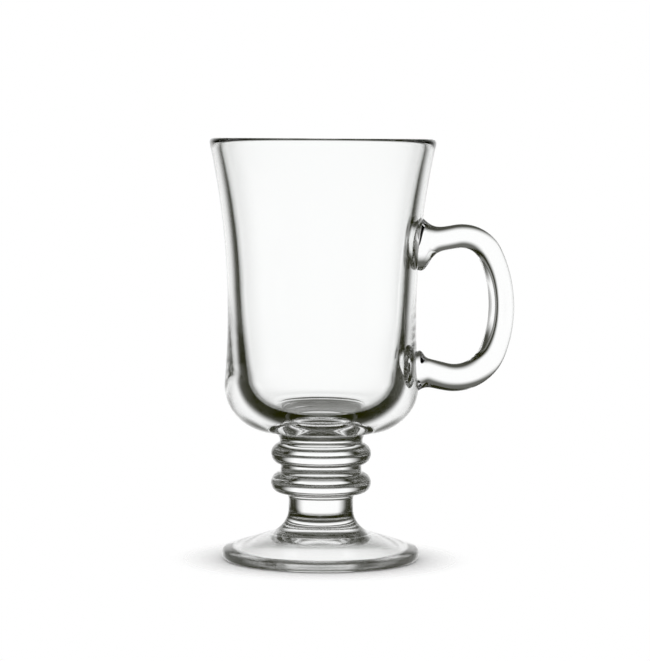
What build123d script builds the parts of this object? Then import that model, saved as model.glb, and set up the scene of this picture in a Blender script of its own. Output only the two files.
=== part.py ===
from build123d import *
import os
from math import cos, exp, pi, radians, sin

# A footed coffee mug of clear pressed glass, in millimetres.
# The origin is on the bowl's axis, on the plane that the foot stands on. +Z is up and +X points at the handle.
# Four pieces of glass are fused where their faces meet: foot, stem, bowl and handle.

# Foot: a low cone with a rounded edge, hollow underneath
foot_radius = 33.2
foot_edge_height = 3.8
foot_edge_rounding = 1.7
foot_height = 9.0
foot_rest_width = 3.4
foot_hollow_height = 6.0

# Stem: a flare, a neck and two ring knops, stacked from the foot up
flare_radius = 17.0
flare_height = 8.3
neck_radius = 10.9
neck_height = 5.3
neck_fillet = 2.1
shoulder_fillet_share = 0.8
ring_radius = 16.9
lower_ring_height = 7.0
groove_radius = 13.65
groove_height = 2.7
upper_ring_height = 7.2
collar_radius = 14.0
collar_height = 3.8
collar_fillet = 2.8

# Bowl: outside
bowl_height = 98.7
rim_radius = 38.4
waist_radius = 31.8
waist_height = 34.3
heel_radius = 34.6
heel_rounding = 15.8
rim_rounding = 1.4
rim_fillet_share = 0.45

# Bowl: inside
rim_wall = 3.15
waist_wall = 4.05
heel_wall = 7.4
base_thickness = 4.7
floor_dish = 4.5
bore_waist_height = 48.7
bore_draft = 2.3
bore_corner = 11.5

# Handle: the line along its middle, from the upper root round to the lower one
handle_root_height = 63.3
handle_rise = 9.9
upper_arm_length = 13.5
upper_bend_radius = 10.7
upper_bend_angle = 75.4
grip_radius = 41.9
grip_angle = 45.8
lower_bend_radius = 14.0
lower_bend_angle = 81.5

# Handle: its section, an oval in the arms and an egg with its blunt end outside in the grip
handle_width = 9.2
upper_crown = -0.08
grip_crown = 0.75
lower_crown = -0.2
crown_focus = 4
upper_thickness = 7.6
lower_thickness = 9.6

# Handle: how far each root swells towards the bowl
upper_root_over = 7.0
upper_root_over_reach = 4.6
upper_root_under = 5.6
upper_root_under_reach = 4.2
lower_root_over = 1.9
lower_root_over_reach = 1.8
lower_root_under = 3.7
lower_root_under_reach = 3.1
root_side = 1.6
root_side_reach = 4.0
root_depth = 3.0

# Levels along the axis
flare_top = foot_height + flare_height
lower_ring_bottom = flare_top + neck_height
lower_ring_top = lower_ring_bottom + lower_ring_height
upper_ring_bottom = lower_ring_top + groove_height
upper_ring_top = upper_ring_bottom + upper_ring_height
bowl_bottom = upper_ring_top + collar_height
rim_level = bowl_bottom + bowl_height
bore_floor = bowl_bottom + base_thickness
bore_waist_level = bowl_bottom + bore_waist_height

os.makedirs("parts", exist_ok=True)

# Foot
rest_inner_radius = foot_radius - foot_edge_rounding - foot_rest_width
with BuildPart() as foot:
    with BuildSketch(Plane.XZ) as foot_section:
        with BuildLine():
            hollow_top = (0, foot_hollow_height)
            hollow_edge = (rest_inner_radius, 0)
            TangentArc(hollow_top, hollow_edge, tangent=(1, 0))
            Polyline(
                hollow_edge,
                (foot_radius, 0),
                (foot_radius, foot_edge_height),
                (flare_radius, foot_height),
                (0, foot_height),
                hollow_top,
            )
        make_face()
        for edge_level in (0, foot_edge_height):
            corner = foot_section.vertices().sort_by_distance((foot_radius, edge_level))[0]
            fillet(corner, radius=foot_edge_rounding)
    revolve(axis=Axis.Z)
foot.part.label = "foot"
export_step(foot.part, "parts/foot.step")

# Stem
with BuildPart() as stem:
    with BuildSketch(Plane.XZ) as stem_section:
        with BuildLine():
            collar_edge = (collar_radius + collar_fillet, bowl_bottom)
            collar_side = (collar_radius, bowl_bottom - collar_fillet)
            Polyline((flare_radius, foot_height), (0, foot_height), (0, bowl_bottom), collar_edge)
            TangentArc(collar_side, collar_edge, tangent=(0, 1))
            Line(collar_side, (collar_radius, upper_ring_top))
            ThreePointArc(
                (collar_radius, upper_ring_top),
                (ring_radius, (upper_ring_bottom + upper_ring_top) / 2),
                (groove_radius, upper_ring_bottom),
            )
            Line((groove_radius, upper_ring_bottom), (groove_radius, lower_ring_top))
            ThreePointArc(
                (groove_radius, lower_ring_top),
                (ring_radius, (lower_ring_bottom + lower_ring_top) / 2),
                (groove_radius, lower_ring_bottom),
            )
            Polyline(
                (groove_radius, lower_ring_bottom),
                (neck_radius, lower_ring_bottom),
                (neck_radius, flare_top),
            )
            TangentArc((neck_radius, flare_top), (flare_radius, foot_height), tangent=(0, -1))
        make_face()
        shoulder = stem_section.vertices().sort_by_distance((neck_radius, lower_ring_bottom))[0]
        shoulder_width = groove_radius - neck_radius
        fillet(shoulder, radius=min(neck_fillet, shoulder_width * shoulder_fillet_share))
    revolve(axis=Axis.Z)
stem.part.label = "stem"
export_step(stem.part, "parts/stem.step")

# Bowl blank: the bowl's outside as a solid body, before its inside is pressed
with BuildPart() as bowl_blank:
    with BuildSketch(Plane.XZ) as blank_section:
        with BuildLine():
            Polyline((rim_radius, rim_level), (0, rim_level), (0, bowl_bottom), (heel_radius, bowl_bottom))
            ThreePointArc(
                (heel_radius, bowl_bottom),
                (waist_radius, bowl_bottom + waist_height),
                (rim_radius, rim_level),
            )
        make_face()
        heel = blank_section.vertices().sort_by_distance((heel_radius, bowl_bottom))[0]
        fillet(heel, radius=heel_rounding)
    revolve(axis=Axis.Z)

# Bowl
bore_waist = (waist_radius - waist_wall, bore_waist_level)
bore_middle = (0, bore_floor)
bore_edge = (waist_radius - heel_wall, bore_floor + floor_dish)
bore_mouth = (rim_radius - rim_wall, rim_level)
draft_run = sin(radians(bore_draft))
draft_climb = cos(radians(bore_draft))
with BuildPart() as bowl:
    add(bowl_blank.part)
    with BuildSketch(Plane.XZ) as bore_section:
        with BuildLine():
            TangentArc(bore_waist, bore_mouth, tangent=(draft_run, draft_climb))
            Polyline(bore_mouth, (0, rim_level), bore_middle)
            TangentArc(bore_middle, bore_edge, tangent=(1, 0))
            TangentArc(bore_waist, bore_edge, tangent=(-draft_run, -draft_climb))
        make_face()
        bore_heel = bore_section.vertices().sort_by_distance(bore_edge)[0]
        fillet(bore_heel, radius=bore_corner)
    revolve(axis=Axis.Z, mode=Mode.SUBTRACT)
    rim_edges = bowl.edges().group_by(Axis.Z)[-1]
    fillet(rim_edges, radius=min(rim_rounding, rim_wall * rim_fillet_share))
bowl.part.label = "bowl"
export_step(bowl.part, "parts/bowl.step")

# Handle: its middle line is two straight arms and three tangent arcs, and both ends start inside the bowl's wall
with BuildLine(Plane.XZ) as handle_line:
    rise_direction = (cos(radians(handle_rise)), sin(radians(handle_rise)))
    root_start = (waist_radius - root_depth, bowl_bottom + handle_root_height)
    upper_arm = PolarLine(root_start, root_depth + upper_arm_length, direction=rise_direction)
    upper_bend = JernArc(upper_arm @ 1, upper_arm % 1, upper_bend_radius, -upper_bend_angle)
    grip = JernArc(upper_bend @ 1, upper_bend % 1, grip_radius, -grip_angle)
    lower_bend = JernArc(grip @ 1, grip % 1, lower_bend_radius, -lower_bend_angle)
    lower_run = lower_bend % 1
    lower_arm_length = ((lower_bend @ 1).X - waist_radius + root_depth) / -lower_run.X
    lower_arm = PolarLine(lower_bend @ 1, lower_arm_length, direction=lower_run)
handle_wire = handle_line.wires()[0]
handle_length = handle_wire.length
section_count = 26
section_points = 24


def swell(amount: float, reach: float, distance: float) -> float:
    """How much a root stands out at a distance from the bowl's wall."""
    return amount * exp(-((distance / reach) ** 2))


def handle_section(along: float) -> tuple[float, float, float]:
    """The section's reach outside and inside the middle line, and its half width, at a length along the line."""
    from_upper = along - root_depth
    from_lower = handle_length - along - root_depth
    thickness = upper_thickness + (lower_thickness - upper_thickness) * along / handle_length
    outside = thickness / 2 + swell(upper_root_over, upper_root_over_reach, from_upper)
    outside += swell(lower_root_under, lower_root_under_reach, from_lower)
    inside = thickness / 2 + swell(upper_root_under, upper_root_under_reach, from_upper)
    inside += swell(lower_root_over, lower_root_over_reach, from_lower)
    half_width = handle_width / 2
    half_width += swell(root_side, root_side_reach, min(from_upper, from_lower))
    return outside, inside, half_width


def handle_crown(along: float) -> float:
    """How much wider the section is on its outer side than on its inner side, at a length along the line."""
    share = along / handle_length
    arms = upper_crown + (lower_crown - upper_crown) * share
    return arms + (grip_crown - arms) * sin(pi * share) ** crown_focus


def egg(outside: float, inside: float, half_width: float, crown: float) -> list[tuple[float, float]]:
    """Points round a section, across and outwards."""
    turns = [2 * pi * number / section_points for number in range(section_points)]
    middle = (outside - inside) / 2
    half_height = (outside + inside) / 2
    return [
        (half_width * cos(turn) * (1 + crown * sin(turn)), middle + half_height * sin(turn))
        for turn in turns
    ]


# Handle: sections along the line, closer together at the roots, cut to the bowl's outside
with BuildPart() as handle:
    for number in range(section_count):
        turn = pi * number / (section_count - 1)
        along = handle_length * (1 - cos(turn)) / 2
        outside, inside, half_width = handle_section(along)
        centre = handle_wire.position_at(along, position_mode=PositionMode.LENGTH)
        heading = handle_wire.tangent_at(along, position_mode=PositionMode.LENGTH)
        with BuildSketch(Plane(origin=centre, x_dir=(0, 1, 0), z_dir=heading)):
            with BuildLine():
                Spline(*egg(outside, inside, half_width, handle_crown(along)), periodic=True)
            make_face()
    loft()
    add(bowl_blank.part, mode=Mode.SUBTRACT)
handle.part.label = "handle"
export_step(handle.part, "parts/handle.step")
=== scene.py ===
"""Dresses the footed glass coffee mug: clear glass in place of its solids, a pale floor and soft light.

Every length in the classes is in millimetres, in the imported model's own frame: the origin is on the bowl's
axis where the foot stands, +Z is up and +X points at the handle. Meshes are made in metres.
"""

from __future__ import annotations

import logging
import math
from dataclasses import dataclass, field
from enum import Enum

import bmesh
import bpy
from mathutils import Matrix, Vector

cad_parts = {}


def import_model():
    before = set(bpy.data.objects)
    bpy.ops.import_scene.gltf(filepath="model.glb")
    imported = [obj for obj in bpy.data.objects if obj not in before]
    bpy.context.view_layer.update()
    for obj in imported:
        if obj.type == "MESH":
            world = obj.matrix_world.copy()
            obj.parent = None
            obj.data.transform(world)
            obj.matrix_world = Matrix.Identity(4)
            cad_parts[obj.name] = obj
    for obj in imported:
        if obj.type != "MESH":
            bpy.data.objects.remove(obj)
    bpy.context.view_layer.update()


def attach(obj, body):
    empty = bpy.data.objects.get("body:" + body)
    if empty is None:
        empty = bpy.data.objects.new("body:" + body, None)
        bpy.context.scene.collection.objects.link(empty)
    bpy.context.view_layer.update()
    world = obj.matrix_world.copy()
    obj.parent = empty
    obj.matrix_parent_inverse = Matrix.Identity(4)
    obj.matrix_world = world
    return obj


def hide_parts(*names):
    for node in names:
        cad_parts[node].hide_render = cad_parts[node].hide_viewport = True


LOG = logging.getLogger("glass_mug")
MM = 0.001
BODY = "root"
AXIS_UP = (0.0, 0.0, 1.0)
AXIS_SIDE = (0.0, 1.0, 0.0)
# Points closer than WELD are one, and a face lies flat when its normal's upright part is over FLAT
WELD = 1e-6
FLAT = 0.99
# How finely an outline is drawn: facets round the axis, edge lengths and edges along straight stretches
TURN_STEPS = 160
WALL_CHORD = 2.0
CHORD = 1.0
RING_CHORD = 0.6
FINE_CHORD = 0.3
LEAST_ARC_STEPS = 2
REST_STEPS = 4
CONE_STEPS = 24
SEAT_STEPS = 8
NECK_STEPS = 3
SHOULDER_STEPS = 2
GROOVE_STEPS = 5
COLLAR_STEPS = 4
HEEL_STEPS = 3
Point = tuple[float, float]
Span = tuple[float, float, float, float]
Colour = tuple[float, float, float]
ALL_ROUND: Span = (-182.0, -181.0, 181.0, 182.0)


class GlassFace(Enum):
    """Which material slot of a piece a face takes."""

    OPEN = 0
    FUSED = 1


class Outline:
    """A chain of edges in the XZ plane, drawn point by point, that a spin turns into a round piece."""

    def __init__(self, radius: float, height: float) -> None:
        """Starts the chain.

        Args:
            radius: Distance of the first point from the axis.
            height: Its level above the table.
        """
        self.mesh = bmesh.new()
        self.tip = self.mesh.verts.new((radius * MM, 0.0, height * MM))

    def line_to(self, radius: float, height: float, steps: int = 1) -> None:
        """Draws a straight stretch from the tip.

        Args:
            radius: Distance of the stretch's end from the axis.
            height: Its level above the table.
            steps: How many edges the stretch has.
        """
        start = self.tip.co.copy()
        end = Vector((radius * MM, 0.0, height * MM))
        for step in range(1, steps + 1):
            grown = bmesh.ops.extrude_vert_indiv(self.mesh, verts=[self.tip])
            self.tip = grown["verts"][0]
            move = start.lerp(end, step / steps) - self.tip.co
            bmesh.ops.translate(self.mesh, verts=[self.tip], vec=move)

    def arc_to(self, centre: Point, end: Point, chord: float) -> None:
        """Draws the shorter arc about a centre, from the tip to an end.

        Args:
            centre: The arc's centre, as radius and height.
            end: The arc's end, as radius and height.
            chord: The longest edge that the arc may have.
        """
        hub = Vector((centre[0] * MM, 0.0, centre[1] * MM))
        first = self.tip.co - hub
        last = Vector((end[0] * MM, 0.0, end[1] * MM)) - hub
        angle = math.atan2(last.z, last.x) - math.atan2(first.z, first.x)
        angle = (angle + math.pi) % math.tau - math.pi
        steps = max(LEAST_ARC_STEPS, math.ceil(abs(angle) * first.length / (chord * MM)))
        turned = bmesh.ops.spin(
            self.mesh, geom=[self.tip], cent=hub, axis=AXIS_SIDE, dvec=(0, 0, 0), angle=-angle, steps=steps
        )
        self.tip = next(part for part in turned["geom_last"] if isinstance(part, bmesh.types.BMVert))

    def spin(self, steps: int) -> bmesh.types.BMesh:
        """Turns the chain round the axis into a closed skin.

        Args:
            steps: How many facets the full turn has.

        Returns:
            The mesh, with its poles closed and its faces pointing outwards.
        """
        chain = self.mesh.verts[:] + self.mesh.edges[:]
        bmesh.ops.spin(
            self.mesh,
            geom=chain,
            cent=(0, 0, 0),
            axis=AXIS_UP,
            dvec=(0, 0, 0),
            angle=math.tau,
            steps=steps,
            use_merge=True,
        )
        bmesh.ops.remove_doubles(self.mesh, verts=self.mesh.verts[:], dist=WELD)
        bmesh.ops.recalc_face_normals(self.mesh, faces=self.mesh.faces[:])
        return self.mesh


def tangent_hub(start: Point, end: Point, tangent: Point) -> Point:
    """Finds the centre of the arc that leaves a start along a tangent and reaches an end.

    Args:
        start: Where the arc starts.
        end: Where it ends.
        tangent: Its direction at the start.

    Returns:
        The centre.
    """
    along = Vector(tangent).normalized()
    side = Vector((-along.y, along.x))
    reach = Vector(end) - Vector(start)
    radius = reach.length_squared / (2 * reach.dot(side))
    hub = Vector(start) + side * radius
    return hub.x, hub.y


def three_point_hub(first: Point, middle: Point, last: Point) -> Point:
    """Finds the centre of the circle through three points.

    Args:
        first: One end of the arc.
        middle: A point on it.
        last: Its other end.

    Returns:
        The centre.
    """
    start = Vector(first)
    across = Vector(middle) - start
    along = Vector(last) - start
    twice = 2 * (across.x * along.y - across.y * along.x)
    x = (along.y * across.length_squared - across.y * along.length_squared) / twice
    y = (across.x * along.length_squared - along.x * across.length_squared) / twice
    return start.x + x, start.y + y


def on_circle(hub: Point, towards: Point, radius: float) -> Point:
    """Gives the point of a circle that lies towards another point.

    Args:
        hub: The circle's centre.
        towards: The point to look at.
        radius: The circle's radius.

    Returns:
        The point on the circle.
    """
    spot = Vector(hub) + (Vector(towards) - Vector(hub)).normalized() * radius
    return spot.x, spot.y


def circles_meet(first: Point, first_radius: float, second: Point, second_radius: float) -> Point:
    """Finds where two circles meet, on the right of the line from the first centre to the second.

    Args:
        first: The first circle's centre.
        first_radius: Its radius.
        second: The second circle's centre.
        second_radius: Its radius.

    Returns:
        The meeting point.
    """
    apart = Vector(second) - Vector(first)
    along = (apart.length_squared + first_radius**2 - second_radius**2) / (2 * apart.length)
    side = math.sqrt(first_radius**2 - along**2)
    unit = apart.normalized()
    spot = Vector(first) + unit * along + Vector((unit.y, -unit.x)) * side
    return spot.x, spot.y


def to_object(name: str, mesh: bmesh.types.BMesh) -> bpy.types.Object:
    """Makes an object of a bmesh and frees the bmesh.

    Args:
        name: The piece's name.
        mesh: Its mesh, in metres, in place.

    Returns:
        The new object, at the origin.
    """
    data = bpy.data.meshes.new(name)
    mesh.to_mesh(data)
    mesh.free()
    piece = bpy.data.objects.new(name, data)
    bpy.context.scene.collection.objects.link(piece)
    return piece


def smooth(piece: bpy.types.Object, crease: float) -> None:
    """Shades a piece smooth, apart from its creases.

    Args:
        piece: The piece.
        crease: The angle in degrees from which an edge stays sharp.
    """
    piece.data.polygons.foreach_set("use_smooth", [True] * len(piece.data.polygons))
    piece.data.set_sharp_from_angle(angle=math.radians(crease))


def cut(piece: bpy.types.Object, tool: bpy.types.Object) -> None:
    """Takes one solid away from another and keeps the result as the piece's own mesh.

    Args:
        piece: The piece to cut.
        tool: The solid to take away, whose materials mark the new faces.
    """
    knife = piece.modifiers.new("cut", "BOOLEAN")
    knife.operation = "DIFFERENCE"
    knife.solver = "MANIFOLD"
    knife.material_mode = "TRANSFER"
    knife.object = tool
    graph = bpy.context.evaluated_depsgraph_get()
    made = bpy.data.meshes.new_from_object(piece.evaluated_get(graph))
    piece.modifiers.clear()
    piece.data = made


@dataclass(frozen=True)
class Foot:
    """The low cone that the mug stands on, hollow underneath."""

    radius: float = 33.2
    edge_height: float = 3.8
    edge_rounding: float = 1.7
    height: float = 9.0
    rest_width: float = 3.4
    hollow_height: float = 6.0
    seat_radius: float = 17.0

    def build(self) -> bpy.types.Object:
        """Spins the foot's section into a closed piece.

        Returns:
            The foot.
        """
        rest_outer = self.radius - self.edge_rounding
        rest_inner = rest_outer - self.rest_width
        hollow_hub = tangent_hub((0, self.hollow_height), (rest_inner, 0), (1, 0))
        pen = Outline(0, self.hollow_height)
        pen.arc_to(hollow_hub, (rest_inner, 0), CHORD)
        pen.line_to(rest_outer, 0, REST_STEPS)
        lower_hub = (rest_outer, self.edge_rounding)
        pen.arc_to(lower_hub, (self.radius, self.edge_rounding), FINE_CHORD)
        fall = math.atan2(self.height - self.edge_height, self.radius - self.seat_radius)
        setback = self.edge_rounding * math.tan((math.pi / 2 - fall) / 2)
        upper_hub = (rest_outer, self.edge_height - setback)
        pen.line_to(self.radius, upper_hub[1])
        cone_start = (
            upper_hub[0] + self.edge_rounding * math.sin(fall),
            upper_hub[1] + self.edge_rounding * math.cos(fall),
        )
        pen.arc_to(upper_hub, cone_start, FINE_CHORD)
        pen.line_to(self.seat_radius, self.height, CONE_STEPS)
        pen.line_to(0, self.height, SEAT_STEPS)
        return to_object("foot_glass", pen.spin(TURN_STEPS))


@dataclass(frozen=True)
class Stem:
    """The solid stem: a flare, a neck, two ring knops and a collar under the bowl."""

    bottom: float = 9.0
    flare_radius: float = 17.0
    flare_height: float = 8.3
    neck_radius: float = 10.9
    neck_height: float = 5.3
    neck_fillet: float = 2.1
    ring_radius: float = 16.9
    lower_ring_height: float = 7.0
    groove_radius: float = 13.65
    groove_height: float = 2.7
    upper_ring_height: float = 7.2
    collar_radius: float = 14.0
    collar_height: float = 3.8
    collar_fillet: float = 2.8

    @property
    def top(self) -> float:
        """Gives the level of the collar's top.

        Returns:
            The level where the bowl starts.
        """
        rings = self.lower_ring_height + self.groove_height + self.upper_ring_height
        return self.bottom + self.flare_height + self.neck_height + rings + self.collar_height

    def build(self) -> bpy.types.Object:
        """Spins the stem's section into a closed piece.

        Returns:
            The stem.
        """
        flare_top = self.bottom + self.flare_height
        lower_bottom = flare_top + self.neck_height
        lower_top = lower_bottom + self.lower_ring_height
        upper_bottom = lower_top + self.groove_height
        upper_top = upper_bottom + self.upper_ring_height
        flare_end = (self.neck_radius, flare_top)
        pen = Outline(0, self.bottom)
        pen.line_to(self.flare_radius, self.bottom, SEAT_STEPS)
        flare_hub = tangent_hub(flare_end, (self.flare_radius, self.bottom), (0, -1))
        pen.arc_to(flare_hub, flare_end, CHORD)
        pen.line_to(self.neck_radius, lower_bottom - self.neck_fillet, NECK_STEPS)
        shoulder_hub = (self.neck_radius + self.neck_fillet, lower_bottom - self.neck_fillet)
        pen.arc_to(shoulder_hub, (shoulder_hub[0], lower_bottom), FINE_CHORD)
        pen.line_to(self.groove_radius, lower_bottom, SHOULDER_STEPS)
        self.ring(pen, (self.groove_radius, lower_bottom), (self.groove_radius, lower_top))
        pen.line_to(self.groove_radius, upper_bottom, GROOVE_STEPS)
        self.ring(pen, (self.groove_radius, upper_bottom), (self.collar_radius, upper_top))
        fillet_level = self.top - self.collar_fillet
        seat = self.collar_radius + self.collar_fillet
        pen.line_to(self.collar_radius, fillet_level, COLLAR_STEPS)
        pen.arc_to((seat, fillet_level), (seat, self.top), FINE_CHORD)
        pen.line_to(0, self.top, SEAT_STEPS)
        return to_object("stem_glass", pen.spin(TURN_STEPS))

    def ring(self, pen: Outline, low: Point, high: Point) -> None:
        """Draws one ring knop.

        Args:
            pen: The outline, with its tip at the ring's lower edge.
            low: The ring's lower edge.
            high: Its upper edge.
        """
        crown = (self.ring_radius, (low[1] + high[1]) / 2)
        hub = three_point_hub(low, crown, high)
        pen.arc_to(hub, crown, RING_CHORD)
        pen.arc_to(hub, high, RING_CHORD)


@dataclass(frozen=True)
class Bowl:
    """The thick-walled flared cup."""

    bottom: float = 43.3
    height: float = 98.7
    rim_radius: float = 38.4
    waist_radius: float = 31.8
    waist_height: float = 34.3
    heel_radius: float = 34.6
    heel_rounding: float = 15.8
    rim_rounding: float = 1.4
    rim_wall: float = 3.15
    waist_wall: float = 4.05
    heel_wall: float = 7.4
    base_thickness: float = 4.7
    bore_waist_height: float = 48.7
    bore_draft: float = 2.3
    bore_corner: float = 11.5
    floor_dish: float = 4.5
    seat_radius: float = 16.8
    blank_drop: float = 12.0

    @property
    def top(self) -> float:
        """Gives the rim's level.

        Returns:
            The level.
        """
        return self.bottom + self.height

    def wall(self) -> tuple[Point, float]:
        """Gives the arc of the bowl's outside.

        Returns:
            The arc's centre and radius.
        """
        waist = (self.waist_radius, self.bottom + self.waist_height)
        hub = three_point_hub((self.heel_radius, self.bottom), waist, (self.rim_radius, self.top))
        return hub, (Vector(waist) - Vector(hub)).length

    def outside(self, pen: Outline) -> None:
        """Draws the heel and the flared wall, up to the rim's outer rounding.

        Args:
            pen: The outline, with its tip under the bowl, inside the heel's rounding.
        """
        hub, radius = self.wall()
        heel_hub = self.heel_hub()
        pen.line_to(heel_hub[0], self.bottom, HEEL_STEPS)
        pen.arc_to(heel_hub, on_circle(hub, heel_hub, radius), CHORD)
        pen.arc_to(hub, on_circle(hub, self.rim_hub(), radius), WALL_CHORD)

    def rim_hub(self) -> Point:
        """Finds the centre of the rim's outer rounding.

        Returns:
            The centre.
        """
        hub, radius = self.wall()
        level = self.top - self.rim_rounding
        return hub[0] - math.sqrt((radius + self.rim_rounding) ** 2 - (hub[1] - level) ** 2), level

    def inside(self, pen: Outline) -> None:
        """Draws the rim's top and the bore, down to the middle of its floor.

        Args:
            pen: The outline, with its tip at the end of the rim's outer rounding.
        """
        waist = (self.waist_radius - self.waist_wall, self.bottom + self.bore_waist_height)
        mouth = (self.rim_radius - self.rim_wall, self.top)
        floor = self.bottom + self.base_thickness
        edge = (self.waist_radius - self.heel_wall, floor + self.floor_dish)
        lean = math.radians(self.bore_draft)
        upper_hub = tangent_hub(waist, mouth, (math.sin(lean), math.cos(lean)))
        upper_radius = (Vector(waist) - Vector(upper_hub)).length
        lower_hub = tangent_hub(waist, edge, (-math.sin(lean), -math.cos(lean)))
        lower_radius = (Vector(waist) - Vector(lower_hub)).length
        level = self.top - self.rim_rounding
        lip_reach = math.sqrt((upper_radius - self.rim_rounding) ** 2 - (upper_hub[1] - level) ** 2)
        lip_hub = (upper_hub[0] - lip_reach, level)
        pen.line_to(lip_hub[0], self.top)
        pen.arc_to(lip_hub, on_circle(upper_hub, lip_hub, upper_radius), FINE_CHORD)
        pen.arc_to(upper_hub, waist, WALL_CHORD)
        dish_hub = tangent_hub((0, floor), edge, (1, 0))
        dish_radius = dish_hub[1] - floor
        corner_hub = circles_meet(
            lower_hub, lower_radius - self.bore_corner, dish_hub, dish_radius - self.bore_corner
        )
        pen.arc_to(lower_hub, on_circle(lower_hub, corner_hub, lower_radius), CHORD)
        pen.arc_to(corner_hub, on_circle(dish_hub, corner_hub, dish_radius), CHORD)
        pen.arc_to(dish_hub, (0, floor), CHORD)

    def build(self) -> bpy.types.Object:
        """Spins the bowl's section into a closed piece.

        Returns:
            The bowl, before the handle's seats are marked on it.
        """
        rim_hub = self.rim_hub()
        pen = Outline(0, self.bottom)
        pen.line_to(self.seat_radius, self.bottom, SEAT_STEPS)
        self.outside(pen)
        pen.arc_to(rim_hub, (rim_hub[0], self.top), FINE_CHORD)
        self.inside(pen)
        return to_object("bowl_glass", pen.spin(TURN_STEPS))

    def blank(self, inset: float) -> bpy.types.Object:
        """Makes the bowl's outside as a solid body, which cuts the handle's ends to fit.

        Args:
            inset: How far the body stays inside the bowl's outer wall.

        Returns:
            The body.
        """
        hub, radius = self.wall()
        level = self.top - self.blank_drop
        high = (hub[0] - math.sqrt((radius + inset) ** 2 - (hub[1] - level) ** 2), level)
        heel_hub = self.heel_hub()
        pen = Outline(0, self.bottom + self.base_thickness)
        start = on_circle(hub, heel_hub, radius + inset)
        pen.line_to(start[0], start[1])
        pen.arc_to(hub, high, WALL_CHORD)
        pen.line_to(0, level)
        return to_object("bowl_blank", pen.spin(TURN_STEPS))

    def heel_hub(self) -> Point:
        """Finds the centre of the heel's rounding.

        Returns:
            The centre.
        """
        hub, radius = self.wall()
        level = self.bottom + self.heel_rounding
        return hub[0] - math.sqrt((radius + self.heel_rounding) ** 2 - (hub[1] - level) ** 2), level


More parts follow.
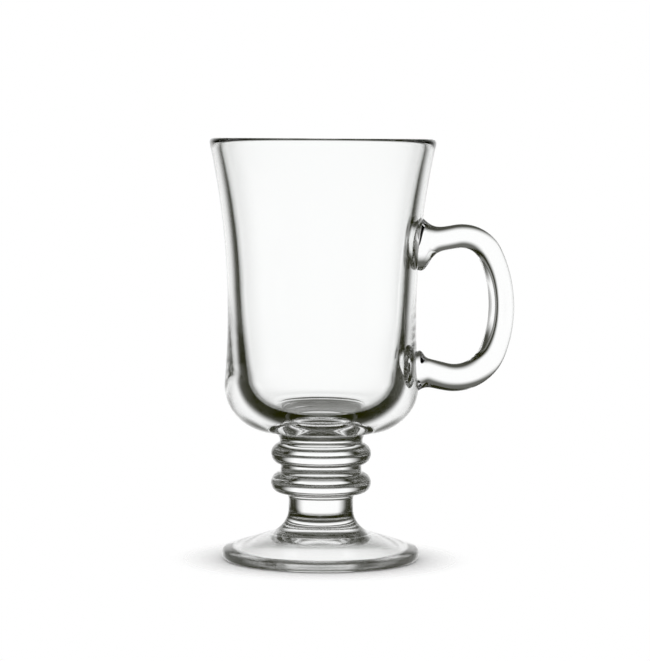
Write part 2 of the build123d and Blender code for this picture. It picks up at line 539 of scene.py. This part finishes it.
@dataclass(frozen=True)
class Handle:
    """The D-shaped ear: a bent oval bar with a flared root at each end."""

    waist_radius: float = 31.8
    root_height: float = 106.6
    rise: float = 9.9
    upper_arm: float = 13.5
    upper_bend: float = 10.7
    upper_bend_angle: float = 75.4
    grip: float = 41.9
    grip_angle: float = 45.8
    lower_bend: float = 14.0
    lower_bend_angle: float = 81.5
    width: float = 9.2
    upper_crown: float = -0.08
    grip_crown: float = 0.75
    lower_crown: float = -0.2
    crown_focus: int = 4
    upper_thickness: float = 7.6
    lower_thickness: float = 9.6
    root_depth: float = 3.0
    upper_over: Point = (7.0, 4.6)
    upper_under: Point = (5.6, 4.2)
    lower_over: Point = (1.9, 1.8)
    lower_under: Point = (3.7, 3.1)
    side: Point = (1.6, 4.0)
    sides: int = 88
    rings: int = 220

    def runs(self) -> list[tuple[float, float]]:
        """Lists the stretches of the middle line.

        Returns:
            For each stretch its length and its turn in radians.
        """
        bends = (
            (self.upper_bend, self.upper_bend_angle),
            (self.grip, self.grip_angle),
            (self.lower_bend, self.lower_bend_angle),
        )
        stretches = [(self.root_depth + self.upper_arm, 0.0)]
        stretches += [(radius * math.radians(angle), math.radians(angle)) for radius, angle in bends]
        end, heading = self.follow(stretches, sum(length for length, _ in stretches))
        last = (end.x - self.waist_radius + self.root_depth) / -math.cos(heading)
        return stretches + [(last, 0.0)]

    def follow(self, stretches: list[tuple[float, float]], along: float) -> tuple[Vector, float]:
        """Walks along the middle line.

        Args:
            stretches: Lengths and turns, from the upper root on.
            along: How far to walk.

        Returns:
            The place reached in the XZ plane and the heading there, in radians from +X.
        """
        spot = Vector((self.waist_radius - self.root_depth, self.root_height))
        heading = math.radians(self.rise)
        for length, turn in stretches:
            walked = min(max(along, 0.0), length)
            bent = turn * walked / length
            half = bent / 2
            chord = walked if half == 0 else walked * math.sin(half) / half
            spot = spot + Vector((math.cos(heading - half), math.sin(heading - half))) * chord
            heading -= bent
            along -= length
            if along <= 0:
                break
        return spot, heading

    def section(self, along: float, stretches: list[tuple[float, float]]) -> tuple[float, float, float]:
        """Sizes the oval at a length along the middle line.

        Args:
            along: The length along the line.
            stretches: The line's stretches.

        Returns:
            The oval's reach outside the line, its reach inside it and its half width.
        """
        total = sum(length for length, _ in stretches)
        half = (self.upper_thickness + (self.lower_thickness - self.upper_thickness) * along / total) / 2
        upper = along - self.root_depth
        lower = total - along - self.root_depth
        outside = half + swell(self.upper_over, upper) + swell(self.lower_under, lower)
        inside = half + swell(self.upper_under, upper) + swell(self.lower_over, lower)
        return outside, inside, self.width / 2 + swell(self.side, min(upper, lower))

    def crown(self, share: float) -> float:
        """Gives how much wider the oval is on its outer side than on its inner side.

        Args:
            share: How far along the line the oval stands, from 0 at the upper root to 1 at the lower one.

        Returns:
            The crown, which is negative where the inner side is the wider one.
        """
        arms = self.upper_crown + (self.lower_crown - self.upper_crown) * share
        return arms + (self.grip_crown - arms) * math.sin(math.pi * share) ** self.crown_focus

    def placement(self, along: float, stretches: list[tuple[float, float]]) -> Matrix:
        """Gives the transform from a unit circle to the oval at a length along the middle line.

        Args:
            along: The length along the line.
            stretches: The line's stretches.

        Returns:
            The transform, in metres.
        """
        spot, heading = self.follow(stretches, along)
        outside, inside, half_width = self.section(along, stretches)
        outward = Vector((-math.sin(heading), 0.0, math.cos(heading)))
        centre = Vector((spot.x, 0.0, spot.y)) + outward * ((outside - inside) / 2)
        forward = Vector((math.cos(heading), 0.0, math.sin(heading)))
        columns = (Vector(AXIS_SIDE) * half_width, outward * ((outside + inside) / 2), forward, centre)
        rows = [[column[row] * MM for column in columns] for row in range(3)]
        return Matrix(rows + [[0.0, 0.0, 0.0, 1.0]])

    def build(self) -> bpy.types.Object:
        """Draws an oval along the middle line into a closed bar with both ends inside the bowl's wall.

        Returns:
            The bar, before its ends are cut to the bowl.
        """
        stretches = self.runs()
        total = sum(length for length, _ in stretches)
        bar = bmesh.new()
        made = bmesh.ops.create_circle(bar, cap_ends=True, segments=self.sides, radius=1.0)
        place = Matrix.Identity(4)
        crown = 0.0
        verts = made["verts"]
        edge = bar.edges[:]
        for ring in range(self.rings + 1):
            if ring:
                grown = bmesh.ops.extrude_edge_only(bar, edges=edge)["geom"]
                verts = [part for part in grown if isinstance(part, bmesh.types.BMVert)]
                edge = [part for part in grown if isinstance(part, bmesh.types.BMEdge)]
            share = ring / self.rings
            bmesh.ops.transform(bar, matrix=place.inverted(), verts=verts)
            following = self.crown(share)
            for vert in verts:
                vert.co.x *= (1 + following * vert.co.y) / (1 + crown * vert.co.y)
            crown = following
            place = self.placement(total * share, stretches)
            bmesh.ops.transform(bar, matrix=place, verts=verts)
        bmesh.ops.contextual_create(bar, geom=edge)
        bmesh.ops.recalc_face_normals(bar, faces=bar.faces[:])
        return to_object("handle_glass", bar)


def swell(root: Point, distance: float) -> float:
    """Gives how much a root stands out at a distance from the bowl's wall.

    Args:
        root: How much it stands out at the wall, and how far it reaches.
        distance: The distance from the wall.

    Returns:
        The amount.
    """
    amount, reach = root
    return amount * math.exp(-((distance / reach) ** 2))


def material(name: str) -> tuple[bpy.types.Material, bpy.types.NodeTree]:
    """Makes an empty node material.

    Args:
        name: The finish's name.

    Returns:
        The material and its node tree, which holds nothing yet.
    """
    made = bpy.data.materials.new(name)
    made.use_nodes = True
    made.node_tree.nodes.clear()
    return made, made.node_tree


def mix_colour(
    tree: bpy.types.NodeTree,
    share: bpy.types.NodeSocket,
    first: Colour | bpy.types.NodeSocket,
    second: Colour | bpy.types.NodeSocket,
) -> bpy.types.NodeSocket:
    """Adds a node that mixes two colours.

    Args:
        tree: The nodes to add it to.
        share: How much of the second colour there is.
        first: The first colour, given or from a socket.
        second: The second colour, given or from a socket.

    Returns:
        The mixed colour.
    """
    node = tree.nodes.new("ShaderNodeMix")
    node.data_type = "RGBA"
    ends = [socket for socket in node.inputs if socket.type == "RGBA"]
    tree.links.new(share, node.inputs["Factor"])
    for socket, colour in zip(ends, (first, second)):
        if isinstance(colour, bpy.types.NodeSocket):
            tree.links.new(colour, socket)
        else:
            socket.default_value = (*colour, 1.0)
    return next(socket for socket in node.outputs if socket.type == "RGBA")


@dataclass(frozen=True)
class PressedSkin:
    """What pressing and fire polishing leave on glass: waves, a trace of colour and changes of polish."""

    name: str = "pressed_skin"
    wave_detail: float = 1.0
    cloud_scale: float = 24.0
    cloud_detail: float = 3.0

    def group(self) -> bpy.types.NodeTree:
        """Gives the node group that all the glasses share, and makes it on first use.

        Returns:
            A group that takes a place, a wave scale and the ends of a tint and of a roughness. It gives a
            height, a tint and a roughness.
        """
        made = bpy.data.node_groups.get(self.name)
        if made is not None:
            return made
        made = bpy.data.node_groups.new(self.name, "ShaderNodeTree")
        for name, kind in (
            ("Place", "NodeSocketVector"),
            ("Wave Scale", "NodeSocketFloat"),
            ("Clear Tint", "NodeSocketColor"),
            ("Deep Tint", "NodeSocketColor"),
            ("Fine Polish", "NodeSocketFloat"),
            ("Dull Polish", "NodeSocketFloat"),
        ):
            made.interface.new_socket(name, in_out="INPUT", socket_type=kind)
        for name, kind in (
            ("Height", "NodeSocketFloat"),
            ("Tint", "NodeSocketColor"),
            ("Roughness", "NodeSocketFloat"),
        ):
            made.interface.new_socket(name, in_out="OUTPUT", socket_type=kind)
        given = made.nodes.new("NodeGroupInput").outputs
        results = made.nodes.new("NodeGroupOutput").inputs
        waves = made.nodes.new("ShaderNodeTexNoise")
        waves.inputs["Detail"].default_value = self.wave_detail
        made.links.new(given["Place"], waves.inputs["Vector"])
        made.links.new(given["Wave Scale"], waves.inputs["Scale"])
        made.links.new(waves.outputs["Fac"], results["Height"])
        clouds = made.nodes.new("ShaderNodeTexNoise")
        clouds.inputs["Scale"].default_value = self.cloud_scale
        clouds.inputs["Detail"].default_value = self.cloud_detail
        made.links.new(given["Place"], clouds.inputs["Vector"])
        tint = mix_colour(made, clouds.outputs["Fac"], given["Clear Tint"], given["Deep Tint"])
        made.links.new(tint, results["Tint"])
        polish = made.nodes.new("ShaderNodeMapRange")
        made.links.new(clouds.outputs["Fac"], polish.inputs["Value"])
        made.links.new(given["Fine Polish"], polish.inputs["To Min"])
        made.links.new(given["Dull Polish"], polish.inputs["To Max"])
        made.links.new(polish.outputs["Result"], results["Roughness"])
        return made


@dataclass(frozen=True)
class ClearGlass:
    """Clear pressed glass, whose skin has the faint waves of its mould."""

    name: str
    wave_scale: float
    wave_height: float
    fine_polish: float
    dull_polish: float
    clear_tint: Colour = (0.998, 1.0, 0.999)
    deep_tint: Colour = (0.990, 0.998, 0.994)
    sheen: Colour = (0.15, 0.15, 0.15)
    ior: float = 1.5

    def build(self) -> bpy.types.Material:
        """Makes the material.

        Returns:
            The glass.
        """
        made, tree = material(self.name)
        coord = tree.nodes.new("ShaderNodeTexCoord")
        skin = tree.nodes.new("ShaderNodeGroup")
        skin.node_tree = PressedSkin().group()
        tree.links.new(coord.outputs["Object"], skin.inputs["Place"])
        skin.inputs["Wave Scale"].default_value = self.wave_scale
        skin.inputs["Clear Tint"].default_value = (*self.clear_tint, 1.0)
        skin.inputs["Deep Tint"].default_value = (*self.deep_tint, 1.0)
        skin.inputs["Fine Polish"].default_value = self.fine_polish
        skin.inputs["Dull Polish"].default_value = self.dull_polish
        bump = tree.nodes.new("ShaderNodeBump")
        bump.inputs["Distance"].default_value = self.wave_height * MM
        tree.links.new(skin.outputs["Height"], bump.inputs["Height"])
        shader = tree.nodes.new("ShaderNodeBsdfPrincipled")
        shader.inputs["IOR"].default_value = self.ior
        shader.inputs["Specular Tint"].default_value = (*self.sheen, 1.0)
        shader.inputs["Transmission Weight"].default_value = 1.0
        tree.links.new(skin.outputs["Tint"], shader.inputs["Base Color"])
        tree.links.new(skin.outputs["Roughness"], shader.inputs["Roughness"])
        tree.links.new(bump.outputs["Normal"], shader.inputs["Normal"])
        output = tree.nodes.new("ShaderNodeOutputMaterial")
        tree.links.new(shader.outputs["BSDF"], output.inputs["Surface"])
        return made


@dataclass(frozen=True)
class FusedSeam:
    """The inside of a seam where two pieces of glass have run together and nothing shows."""

    name: str = "fused_seam"

    def build(self) -> bpy.types.Material:
        """Makes the material.

        Returns:
            A surface that light passes straight through.
        """
        made, tree = material(self.name)
        shader = tree.nodes.new("ShaderNodeBsdfPrincipled")
        shader.inputs["Alpha"].default_value = 0.0
        output = tree.nodes.new("ShaderNodeOutputMaterial")
        tree.links.new(shader.outputs["BSDF"], output.inputs["Surface"])
        return made


def mark_seam(piece: bpy.types.Object, level: float) -> None:
    """Marks the flat faces of a piece at one level as fused.

    Args:
        piece: The piece.
        level: The seam's level above the table.
    """
    for face in piece.data.polygons:
        if abs(face.center.z - level * MM) < WELD and abs(face.normal.z) > FLAT:
            face.material_index = GlassFace.FUSED.value


@dataclass
class Mug:
    """The whole mug: its four pieces of glass, seamed and dressed."""

    foot: Foot = field(default_factory=Foot)
    stem: Stem = field(default_factory=Stem)
    bowl: Bowl = field(default_factory=Bowl)
    handle: Handle = field(default_factory=Handle)
    seat_depth: float = 0.03
    crease: float = 35.0

    def build(self) -> list[bpy.types.Object]:
        """Builds the pieces, cuts the handle to the bowl and gives each its glass.

        Returns:
            The pieces.
        """
        seam = FusedSeam().build()
        made = {
            "foot": self.foot.build(),
            "stem": self.stem.build(),
            "bowl": self.bowl.build(),
            "handle": self.handle.build(),
        }
        glasses = {
            "foot": ClearGlass(
                "foot_glass", wave_scale=70.0, wave_height=0.02, fine_polish=0.07, dull_polish=0.13
            ),
            "stem": ClearGlass(
                "stem_glass", wave_scale=60.0, wave_height=0.008, fine_polish=0.05, dull_polish=0.10
            ),
            "bowl": ClearGlass(
                "bowl_glass", wave_scale=35.0, wave_height=0.006, fine_polish=0.02, dull_polish=0.05
            ),
            "handle": ClearGlass(
                "handle_glass", wave_scale=60.0, wave_height=0.01, fine_polish=0.03, dull_polish=0.06
            ),
        }
        for node, piece in made.items():
            finishes = {GlassFace.OPEN: glasses[node].build(), GlassFace.FUSED: seam}
            for face in GlassFace:
                piece.data.materials.append(finishes[face])
        blank = self.bowl.blank(self.seat_depth)
        blank.data.materials.append(seam)
        cut(made["handle"], blank)
        cut(made["bowl"], made["handle"])
        bpy.data.objects.remove(blank)
        mark_seam(made["foot"], self.foot.height)
        mark_seam(made["stem"], self.stem.bottom)
        mark_seam(made["stem"], self.stem.top)
        mark_seam(made["bowl"], self.bowl.bottom)
        for node, piece in made.items():
            smooth(piece, self.crease)
            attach(piece, BODY)
            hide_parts(node)
            LOG.info("%s: %d faces", piece.name, len(piece.data.polygons))
        return list(made.values())


class Side(Enum):
    """Which half of the light tent a card hangs in."""

    LEFT = "left"
    RIGHT = "right"
    BOTH = "both"


@dataclass(frozen=True)
class Card:
    """A dark card of the light tent, with soft edges.

    Bearings go in degrees from straight behind the mug round to the camera, and rises from the horizon up.
    Each span gives where the card starts to show, where it is full, where it is last full and where it ends.
    """

    name: str
    side: Side
    bearing: Span
    rise: Span
    density: float


def math_node(
    tree: bpy.types.NodeTree,
    operation: str,
    first: bpy.types.NodeSocket,
    second: float | bpy.types.NodeSocket = 0.0,
) -> bpy.types.NodeSocket:
    """Adds a Math node.

    Args:
        tree: The nodes to add it to.
        operation: What it does.
        first: Its first input.
        second: Its second input, a socket or a number.

    Returns:
        Its result.
    """
    node = tree.nodes.new("ShaderNodeMath")
    node.operation = operation
    tree.links.new(first, node.inputs[0])
    if isinstance(second, bpy.types.NodeSocket):
        tree.links.new(second, node.inputs[1])
    else:
        node.inputs[1].default_value = second
    return node.outputs[0]


@dataclass(frozen=True)
class Tent:
    """A white light tent on the camera's stand, hung with dark cards that only glass shows."""

    reach: float = 2000.0
    middle: float = 71.0
    fineness: int = 4
    cloth: Colour = (1.0, 1.0, 1.0)
    card_colour: Colour = (0.012, 0.013, 0.0)
    cards: tuple[Card, ...] = (
        Card("left_edge", Side.LEFT, (20.0, 42.0, 56.0, 74.0), ALL_ROUND, 0.98),
        Card("right_edge", Side.RIGHT, (21.0, 42.0, 57.0, 74.0), ALL_ROUND, 0.98),
        Card("left_room", Side.LEFT, (56.0, 70.0, 180.0, 181.0), ALL_ROUND, 0.72),
        Card("left_corner", Side.LEFT, (88.0, 112.0, 152.0, 168.0), ALL_ROUND, 0.4),
        Card("right_gap", Side.RIGHT, (56.0, 66.0, 72.0, 82.0), ALL_ROUND, 0.4),
        Card("right_corner", Side.RIGHT, (112.0, 132.0, 152.0, 168.0), ALL_ROUND, 0.88),
        Card("right_room", Side.RIGHT, (150.0, 166.0, 180.0, 181.0), ALL_ROUND, 0.68),
        Card("above", Side.BOTH, (20.0, 45.0, 180.0, 181.0), (8.0, 20.0, 90.0, 91.0), 0.95),
        Card("below", Side.BOTH, (25.0, 48.0, 180.0, 181.0), (-91.0, -90.0, -22.0, -10.0), 0.95),
        Card("ceiling", Side.BOTH, ALL_ROUND, (10.0, 28.0, 90.0, 91.0), 0.87),
        Card("near_floor", Side.BOTH, ALL_ROUND, (-91.0, -90.0, -40.0, -18.0), 0.95),
    )

    def build(self, camera: bpy.types.Object) -> None:
        """Hangs the tent round the mug.

        Args:
            camera: The camera whose stand carries the tent.
        """
        ball = bmesh.new()
        bmesh.ops.create_icosphere(ball, subdivisions=self.fineness, radius=self.reach * MM)
        tent = to_object("light_tent", ball)
        tent.data.materials.append(self.finish())
        tent.visible_camera = False
        tent.visible_diffuse = False
        tent.visible_shadow = False
        tent.location = Vector((0, 0, self.middle * MM))
        tent.parent = camera
        tent.matrix_parent_inverse = camera.matrix_world.inverted()

    def finish(self) -> bpy.types.Material:
        """Makes the tent's cloth, clear apart from the cards.

        Returns:
            The material.
        """
        made, tree = material("tent_cloth")
        coord = tree.nodes.new("ShaderNodeTexCoord")
        unit = tree.nodes.new("ShaderNodeVectorMath")
        unit.operation = "NORMALIZE"
        tree.links.new(coord.outputs["Object"], unit.inputs[0])
        split = tree.nodes.new("ShaderNodeSeparateXYZ")
        tree.links.new(unit.outputs[0], split.inputs[0])
        right = math_node(tree, "ARCTAN2", split.outputs["X"], split.outputs["Y"])
        bearings = {
            Side.RIGHT: right,
            Side.LEFT: math_node(tree, "MULTIPLY", right, -1.0),
            Side.BOTH: math_node(tree, "ABSOLUTE", right),
        }
        rise = math_node(tree, "ARCSINE", split.outputs["Z"])
        clear = None
        for card in self.cards:
            mask = math_node(
                tree, "MULTIPLY", band(tree, bearings[card.side], card.bearing), band(tree, rise, card.rise)
            )
            left_over = math_node(tree, "MULTIPLY_ADD", mask, -card.density)
            left_over.node.inputs[2].default_value = 1.0
            left_over.node.label = card.name
            clear = left_over if clear is None else math_node(tree, "MULTIPLY", clear, left_over)
        shader = tree.nodes.new("ShaderNodeBsdfTransparent")
        tree.links.new(mix_colour(tree, clear, self.card_colour, self.cloth), shader.inputs["Color"])
        output = tree.nodes.new("ShaderNodeOutputMaterial")
        tree.links.new(shader.outputs["BSDF"], output.inputs["Surface"])
        return made


def band(tree: bpy.types.NodeTree, angle: bpy.types.NodeSocket, span: Span) -> bpy.types.NodeSocket:
    """Makes a mask that fades in and out again along an angle.

    Args:
        tree: The nodes to add it to.
        angle: The angle, in radians.
        span: Where the mask starts, is full, is last full and ends, in degrees.

    Returns:
        A value of 0 off the span and 1 on it.
    """
    rising = fade(tree, angle, (math.radians(span[0]), math.radians(span[1])), (0.0, 1.0))
    falling = fade(tree, angle, (math.radians(span[2]), math.radians(span[3])), (1.0, 0.0))
    return math_node(tree, "MULTIPLY", rising, falling)


def fade(
    tree: bpy.types.NodeTree, value: bpy.types.NodeSocket, limits: Point, ends: Point
) -> bpy.types.NodeSocket:
    """Maps a value softly from one pair of limits to another.

    Args:
        tree: The nodes to add it to.
        value: The value.
        limits: Where the fade starts and ends.
        ends: What it gives there.

    Returns:
        The mapped value.
    """
    node = tree.nodes.new("ShaderNodeMapRange")
    node.interpolation_type = "SMOOTHSTEP"
    for name, number in zip(("From Min", "From Max", "To Min", "To Max"), (*limits, *ends)):
        node.inputs[name].default_value = number
    tree.links.new(value, node.inputs["Value"])
    return node.outputs["Result"]


@dataclass
class Studio:
    """The camera, the floor and the light."""

    distance: float = 955.0
    eye_height: float = 142.0
    aside: float = 1.05
    pixels_per_mm: float = 2.974
    long_side: float = 661.0
    horizon_row: float = 138.5
    roll: float = 0.36
    sensor: float = 36.0
    floor_radius: float = 400.0
    floor_facets: int = 96
    seen_fade: Point = (33.0, 52.0)
    floor_drop: float = 0.05
    floor_colour: Colour = (0.99, 0.99, 0.99)
    room_colour: Colour = (1.0, 1.0, 1.0)
    flag_off: float = 0.5
    bounces: int = 32

    def camera(self) -> bpy.types.Object:
        """Places the camera where the photograph was taken from.

        Returns:
            The camera.
        """
        data = bpy.data.cameras.new("camera")
        focal = self.pixels_per_mm * self.distance
        data.sensor_width = self.sensor
        data.lens = focal * self.sensor / self.long_side
        camera = bpy.data.objects.new("camera", data)
        tilt = math.atan2(self.long_side / 2 - self.horizon_row, focal)
        turn = Matrix.Rotation(math.pi / 2 - tilt, 4, "X") @ Matrix.Rotation(math.radians(self.roll), 4, "Z")
        spot = Vector((self.aside, -self.distance, self.eye_height)) * MM
        camera.matrix_world = Matrix.Translation(spot) @ turn
        bpy.context.scene.collection.objects.link(camera)
        bpy.context.scene.camera = camera
        return camera

    def world(self) -> None:
        """Fills the room with even white light."""
        world = bpy.data.worlds.new("studio")
        world.use_nodes = True
        world.node_tree.nodes["Background"].inputs["Color"].default_value = (*self.room_colour, 1.0)
        bpy.context.scene.world = world

    def floor(self) -> None:
        """Lays a round white floor under the mug, which fades into the white room."""
        disc = bmesh.new()
        radius = self.floor_radius * MM
        bmesh.ops.create_circle(disc, cap_ends=True, segments=self.floor_facets, radius=radius)
        bmesh.ops.translate(disc, verts=disc.verts[:], vec=(0, 0, -self.floor_drop * MM))
        floor = to_object("floor", disc)
        floor.data.materials.append(self.floor_finish())

    def floor_finish(self) -> bpy.types.Material:
        """Makes the floor's finish, which shows near the mug only and leaves the glass its view of the room.

        Returns:
            The material.
        """
        made, tree = material("white_floor")
        shader = tree.nodes.new("ShaderNodeBsdfDiffuse")
        shader.inputs["Color"].default_value = (*self.floor_colour, 1.0)
        clear = tree.nodes.new("ShaderNodeBsdfTransparent")
        coord = tree.nodes.new("ShaderNodeTexCoord")
        span = tree.nodes.new("ShaderNodeVectorMath")
        span.operation = "LENGTH"
        tree.links.new(coord.outputs["Object"], span.inputs[0])
        path = tree.nodes.new("ShaderNodeLightPath")
        seen = fade(tree, span.outputs["Value"], tuple(edge * MM for edge in self.seen_fade), (1.0, 0.0))
        passed = path.outputs["Is Transmission Ray"]
        through = math_node(tree, "MAXIMUM", passed, path.outputs["Is Glossy Ray"])
        cover = math_node(tree, "MULTIPLY", seen, math_node(tree, "LESS_THAN", through, self.flag_off))
        mix = tree.nodes.new("ShaderNodeMixShader")
        tree.links.new(cover, mix.inputs["Fac"])
        tree.links.new(clear.outputs["BSDF"], mix.inputs[1])
        tree.links.new(shader.outputs["BSDF"], mix.inputs[2])
        output = tree.nodes.new("ShaderNodeOutputMaterial")
        tree.links.new(mix.outputs["Shader"], output.inputs["Surface"])
        return made

    def build(self) -> None:
        """Sets up the studio."""
        camera = self.camera()
        bpy.context.view_layer.update()
        self.world()
        self.floor()
        Tent().build(camera)
        scene = bpy.context.scene
        scene.view_settings.view_transform = "Standard"
        scene.cycles.max_bounces = self.bounces
        scene.cycles.glossy_bounces = self.bounces
        scene.cycles.transmission_bounces = self.bounces
        scene.cycles.transparent_max_bounces = self.bounces


def main() -> None:
    """Builds the mug and its studio."""
    logging.basicConfig(level=logging.INFO, format="%(name)s: %(message)s")
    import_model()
    Mug().build()
    Studio().build()


if __name__ == "__main__":
    main()
